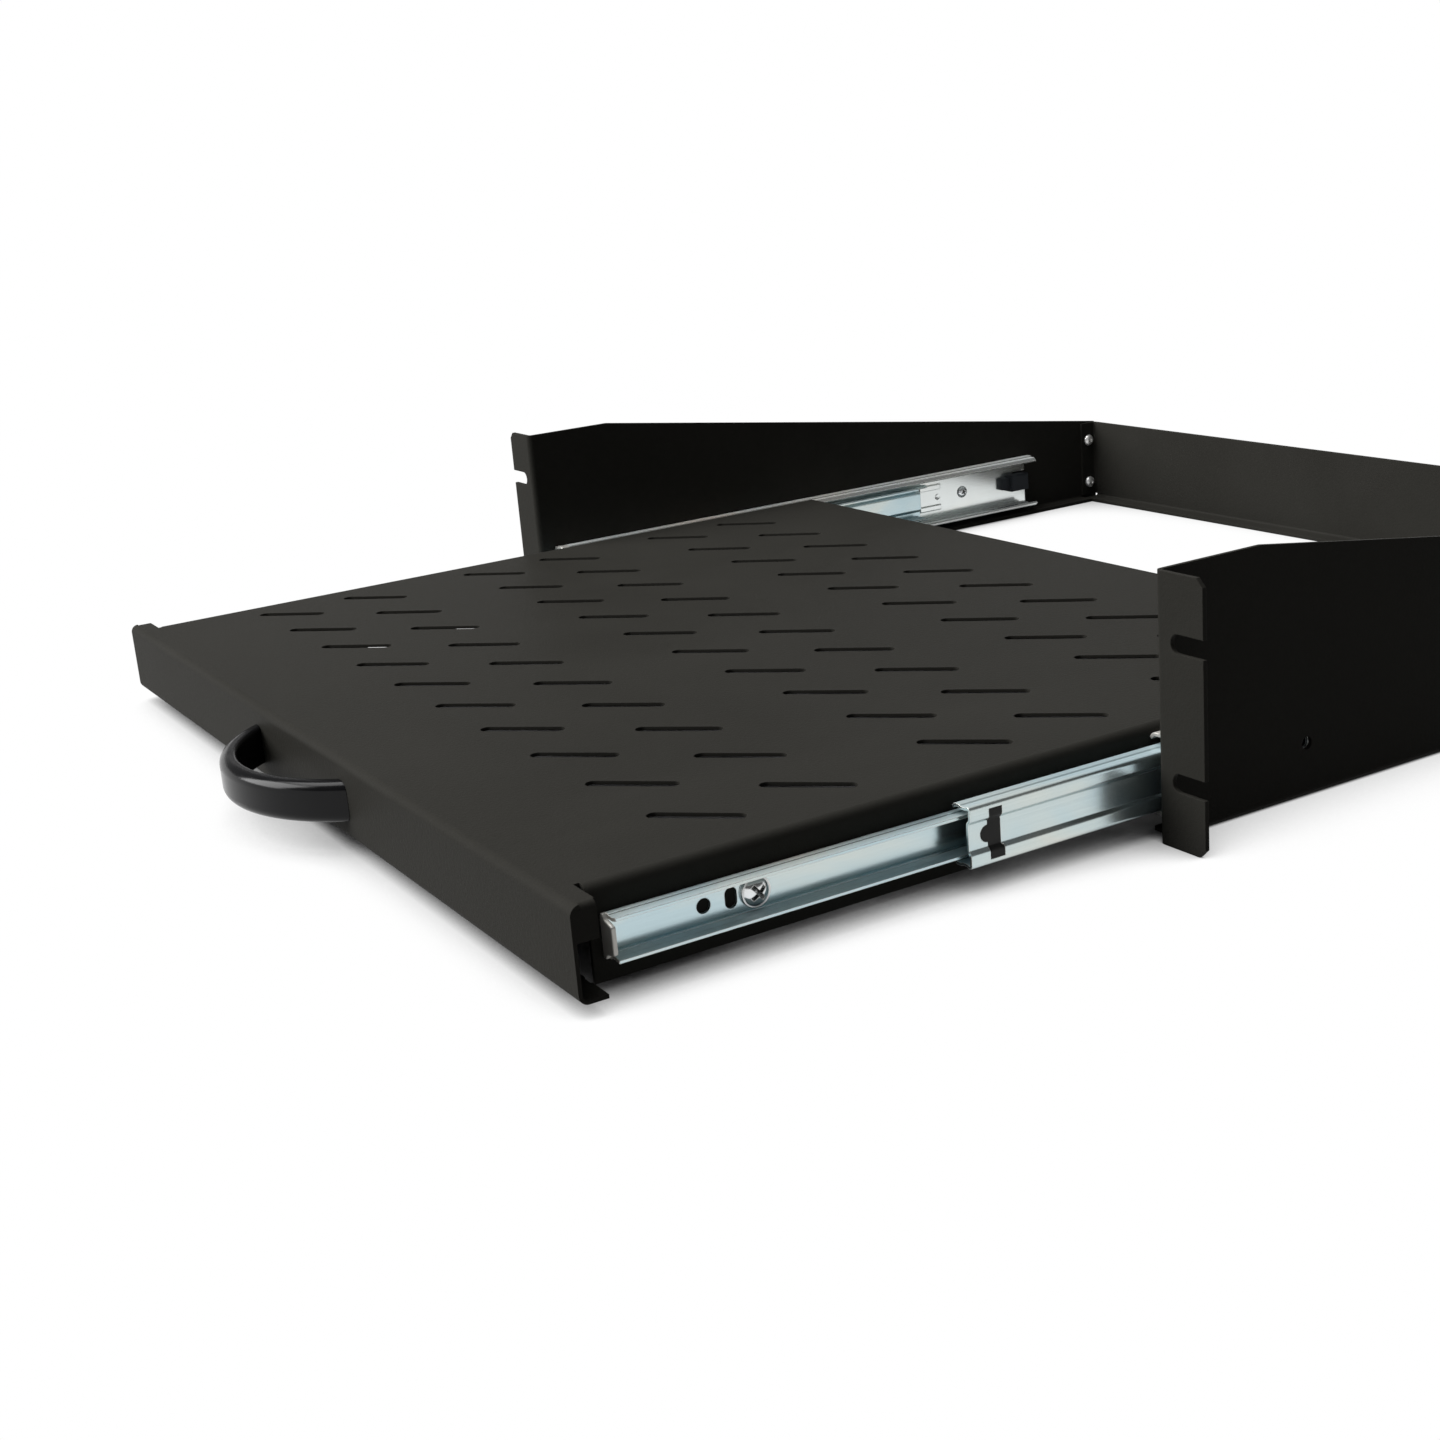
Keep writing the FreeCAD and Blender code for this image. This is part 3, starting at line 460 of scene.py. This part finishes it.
# Blind rivets of the rear panel: plain aluminium, head inside the shelf with the snapped
# pin sunk in its middle, and the swollen tail outside the bracket.
rivet_aluminium = zinc_plate(
    "rivet_aluminium", blue=(0.80, 0.80, 0.79, 1), straw=(0.84, 0.83, 0.80, 1), rose=(0.82, 0.81, 0.80, 1),
    roughness=0.40, metal_share=0.75)
rivet_outline = (
    (0, 1.35), (0.55, 1.30), (0.82, 1.12), (0.84, 1.78), (1.0, 1.97), (1.3, 1.96), (2.0, 1.72), (2.6, 1.24),
    (2.96, 0.66), (3.1, 0.20), (3.05, 0), (1.6, 0), (1.6, -3.0), (2.5, -3.0), (2.6, -3.2), (2.5, -3.6),
    (2.1, -4.1), (1.6, -4.45), (1.15, -4.6), (0.95, -4.55), (0.9, -4.2), (0, -4.1))
rivet_seat = 0.219
rivet_row = 0.3477
rivet_levels = (-0.03425, -0.01015)
rivets = bmesh.new()
for sign in (-1, 1):
    rivet = turned(rivet_outline)
    set_out(rivet, [(sign * rivet_seat, rivet_row, z) for z in rivet_levels], (-sign, 0, 0))
    take_in(rivets, rivet)
new_piece("blind_rivets", rivets, rivet_aluminium, "frame", "rivet_aluminium", "rear_rivets")


# Pull handle: a bow moulded in hard black plastic with a glossy skin, held by two
# dome-headed screws that are driven from behind the front panel.
def moulded_black(name, tone, roughness, grains_per_metre):
    """Black plastic or rubber as it comes out of the mould, a little cloudy from handling."""
    cloudy_tone = [c * 1.35 for c in tone[:3]] + [1]
    skin_height = 0.00005
    material, tree, shader = new_material(name)
    place = add(tree, "TexCoord").outputs["Object"]
    marks = placed(tree, "handling_marks", Cloud_Scale=60.0, Speck_Scale=900.0)
    edges = placed(tree, "soft_edges", Radius=0.0004)
    skin = add(tree, "TexNoise", Vector=place, Scale=grains_per_metre, Detail=2.0).outputs["Fac"]
    bump = add(tree, "Bump", Strength=0.05, Distance=skin_height, Height=skin, Normal=edges["Normal"])
    feed(
        tree, shader, Base_Color=mixed(tree, marks["Cloud"], tone, cloudy_tone),
        Roughness=ranged(tree, marks["Cloud"], 0.0, 1.0, roughness * 0.85, roughness * 1.2),
        Normal=bump.outputs["Normal"], Specular_IOR_Level=0.2)
    return material


handle_plastic = moulded_black("handle_plastic", (0.0045, 0.0045, 0.005, 1), 0.18, 600.0)
finish_with(handle_plastic, "pull_handle")
handle_screw_outline = (
    (0, 2.20), (0.9, 2.15), (1.8, 1.94), (2.6, 1.52), (3.1, 1.02), (3.4, 0.50), (3.5, 0.12), (3.45, 0),
    (0, 0))
handle_thread_radius = 1.75
handle_screw_length = 5.2
handle_screw_row = -0.2038
handle_screw_level = -0.02505
handle_half_span = 0.0435
handle_screw = turned(handle_screw_outline)
press_cross(handle_screw, level=0.6, reach=1.8, width=0.9, depth=1.0, turn=12)
add_thread(handle_screw, handle_thread_radius, handle_screw_length)
handle_screw_places = [
    (x, handle_screw_row, handle_screw_level) for x in (-handle_half_span, handle_half_span)]
set_out(handle_screw, handle_screw_places, (0, 1, 0))
new_piece("handle_back_screws", handle_screw, fastener_zinc, "tray", "bright_fasteners", "handle_screws")


# Clips of the middle rails and bumpers of the outer rails: satin black plastic
# snapped into the rail's window, and dark rubber pushed into the rail's end.
clip_plastic = moulded_black("clip_plastic", (0.022, 0.022, 0.021, 1), 0.48, 1500.0)
finish_with(clip_plastic, "left_rail_clip", "right_rail_clip")
bumper_rubber = moulded_black("bumper_rubber", (0.030, 0.034, 0.040, 1), 0.62, 1200.0)
finish_with(bumper_rubber, "left_rear_bumper", "right_rear_bumper")


# Stage: a round white floor with a low rim in a dim grey room. The floor glows white
# where an occlusion test finds it open and is grey, a painted shadow, under and beside
# the shelf. One softbox hangs overhead, a little to the front left, and a larger one
# stands far off at the front left.
floor_radius = 5.0
rim_height = 1.2
floor_level = cad_bounds[0][2] - 0.0002
stage_mesh = bmesh.new()
bmesh.ops.create_circle(stage_mesh, cap_ends=True, segments=96, radius=floor_radius)
rim_edges = bmesh.ops.extrude_edge_only(stage_mesh, edges=[e for e in stage_mesh.edges if e.is_boundary])
rim_points = [v for v in rim_edges["geom"] if isinstance(v, bmesh.types.BMVert)]
bmesh.ops.translate(stage_mesh, verts=rim_points, vec=(0, 0, rim_height))
bmesh.ops.translate(stage_mesh, verts=stage_mesh.verts, vec=(0, 0, floor_level))
stage_data = bpy.data.meshes.new("floor")
stage_mesh.to_mesh(stage_data)
stage_mesh.free()
floor = bpy.data.objects.new("floor", stage_data)
bpy.context.scene.collection.objects.link(floor)

shadow_grey = (0.13, 0.13, 0.13, 1)
bounce_grey = (0.17, 0.17, 0.17, 1)
shadow_reach = 0.3
fade_start = 0.45
fade_end = 1.2
floor_paint, floor_tree, floor_shader = new_material("white_floor")
floor_place = add(floor_tree, "TexCoord").outputs["Object"]
floor_reach = add(floor_tree, "VectorMath", operation="LENGTH", i0=floor_place).outputs["Value"]
# Painted shadow: the floor glows white only as far as it is open, so it turns grey under and beside the
# shelf.
floor_open = add(floor_tree, "AmbientOcclusion", samples=24, Distance=shadow_reach).outputs["AO"]
floor_glow = ranged(floor_tree, floor_open, 0.11, 0.62)
floor_fade = add(
    floor_tree, "MapRange", interpolation_type="SMOOTHSTEP", i0=floor_reach, i1=fade_start, i2=fade_end)
floor_white = more_of(floor_tree, floor_fade.outputs["Result"], floor_glow)
feed(floor_tree, floor_shader, Base_Color=shadow_grey, Roughness=0.9, Specular_IOR_Level=0.0)
room_white = add(floor_tree, "Emission", Color=(1, 1, 1, 1), Strength=1.0)
lit_floor = add(
    floor_tree, "MixShader", i0=floor_white, i1=floor_shader.outputs[0], i2=room_white.outputs[0])
dim_floor = add(floor_tree, "BsdfDiffuse", Color=bounce_grey)
path = add(floor_tree, "LightPath").outputs
looked_at = more_of(floor_tree, path["Is Camera Ray"], path["Is Glossy Ray"])
seen = more_of(floor_tree, looked_at, path["Is Transmission Ray"])
floor_mix = add(floor_tree, "MixShader", i0=seen, i1=dim_floor.outputs[0], i2=lit_floor.outputs[0])
feed(floor_tree, floor_tree.nodes["Material Output"], Surface=floor_mix.outputs[0])
stage_data.materials.append(floor_paint)

room_grey = (0.13, 0.13, 0.13, 1)
world = bpy.data.worlds.new("dim_room")
bpy.context.scene.world = world
world.use_nodes = True
world.node_tree.nodes["Background"].inputs["Color"].default_value = room_grey


def softbox(name, place, target, size, power):
    """Square lamp that faces a point."""
    lamp = bpy.data.lights.new(name, "AREA")
    lamp.shape = "SQUARE"
    lamp.size = size
    lamp.energy = power
    holder = bpy.data.objects.new(name, lamp)
    turn = (Vector(target) - Vector(place)).to_track_quat("-Z", "Y").to_matrix().to_4x4()
    holder.matrix_world = Matrix.Translation(place) @ turn
    bpy.context.scene.collection.objects.link(holder)


softbox("top_softbox", place=(-0.35, -0.35, 1.5), target=(-0.2, -0.1, 0), size=1.2, power=23.0)
softbox("front_softbox", place=(-2.1, -3.7, 2.75), target=(0, 0, 0), size=3.6, power=345.0)


# Camera: stands off the near front corner, to the right and a little above the shelf,
# looks past it to the far side, and is rolled a few degrees.
camera_azimuth = math.radians(60.732)
camera_elevation = math.radians(16.753)
camera_roll = math.radians(-4.882)
camera_place = Vector((0.671846, -0.408638, 0.186686))
camera_focal_px = 2013.284
frame_px = 1440
sensor_mm = 36.0
nearest_seen = 0.02
backward = Vector((
    math.sin(camera_azimuth) * math.cos(camera_elevation),
    -math.cos(camera_azimuth) * math.cos(camera_elevation), math.sin(camera_elevation)))
level_right = (-backward).cross(Vector((0, 0, 1))).normalized()
level_up = level_right.cross(-backward)
right = level_right * math.cos(camera_roll) + level_up * math.sin(camera_roll)
up = level_up * math.cos(camera_roll) - level_right * math.sin(camera_roll)
lens = bpy.data.cameras.new("camera")
lens.sensor_fit = "HORIZONTAL"
lens.sensor_width = sensor_mm
lens.lens = camera_focal_px / frame_px * sensor_mm
lens.clip_start = nearest_seen
camera = bpy.data.objects.new("camera", lens)
camera.matrix_world = Matrix.Translation(camera_place) @ Matrix((right, up, backward)).transposed().to_4x4()
bpy.context.scene.collection.objects.link(camera)
bpy.context.scene.camera = camera
bpy.context.scene.view_settings.view_transform = "Standard"
